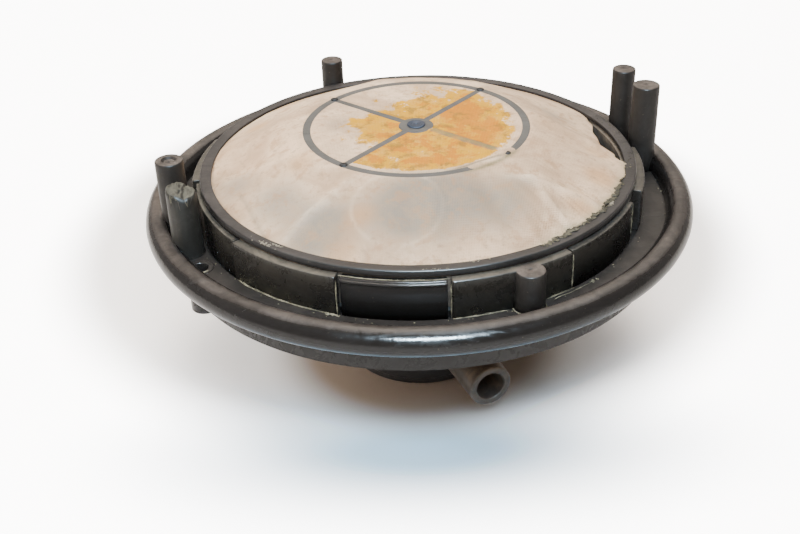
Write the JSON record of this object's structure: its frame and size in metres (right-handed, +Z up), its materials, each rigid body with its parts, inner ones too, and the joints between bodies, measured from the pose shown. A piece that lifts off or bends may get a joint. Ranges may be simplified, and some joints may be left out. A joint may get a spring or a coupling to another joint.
{
  "type": "air filter",
  "caption": "Round filter unit: rolled-rim pan with upright posts, sprung domed cloth in a lift-off ring, and an outlet cup with a hose spigot beneath.",
  "frame": {"origin": "centre of the outlet cup's underside, the face it stands on", "axes": "+Z up along the unit's axis, out of the cloth dome; -Y towards the clear window panel; +X to the right seen from there"},
  "size_m": [0.13, 0.13, 0.0645],
  "materials": {
    "pan_plastic": "dusty moulded gloss",
    "rim_plastic": "polished roll",
    "wall_plastic": "moulded, with residue lines",
    "window_plastic": "clean gloss",
    "ring_plastic": "rubbed satin",
    "post_plastic": "satin, scuffed tops",
    "cup_plastic": "satin",
    "spigot_plastic": "satin, worn mouth",
    "gasket_rubber": "matte",
    "filter_cloth": "fine non-woven, stained",
    "stiffener_plastic": "satin",
    "pip_plastic": "satin",
    "pin_steel": "blued",
    "spring_steel": "bright wire"
  },
  "bodies": {
    "pan": {"pan_shell": "pan_plastic", "pan_funnel": "pan_plastic", "rim_bead": "rim_plastic", "wall_segments": "wall_plastic", "locating_bush": "pan_plastic", "seal_gasket": "gasket_rubber", "post_left_rear": "post_plastic", "post_left_front": "post_plastic", "post_right_rear": "post_plastic", "post_right_front": "post_plastic", "post_front": "post_plastic", "post_back": "post_plastic", "outlet_cup": "cup_plastic", "cup_cap": "cup_plastic", "outlet_spigot": "spigot_plastic", "guide_spider": "pan_plastic", "dome_spring": "spring_steel"},
    "filter_ring": {"cloth_frame": "wall_plastic", "window_panel_front": "window_plastic", "window_panels_side": "wall_plastic", "retaining_ring": "ring_plastic", "filter_cloth": "filter_cloth"},
    "dome_island": {"stiffener_grid": "stiffener_plastic", "stiffener_backer": "stiffener_plastic", "stiffener_pips": "pip_plastic", "spring_seat": "pin_steel", "guide_pin": "pin_steel"}
  },
  "joints": [
    {"name": "filter_ring_lift", "type": "slide", "parent": "pan", "child": "filter_ring", "axis": [0, 0, 1], "range_m": [0, 0.03]},
    {"name": "dome_press", "type": "slide", "parent": "filter_ring", "child": "dome_island", "axis": [0, 0, 1], "range_m": [-0.006, 0], "stiffness_N_per_m": 150, "springref_m": 0.0005, "deforming": ["filter_cloth", "dome_spring"]}
  ]
}
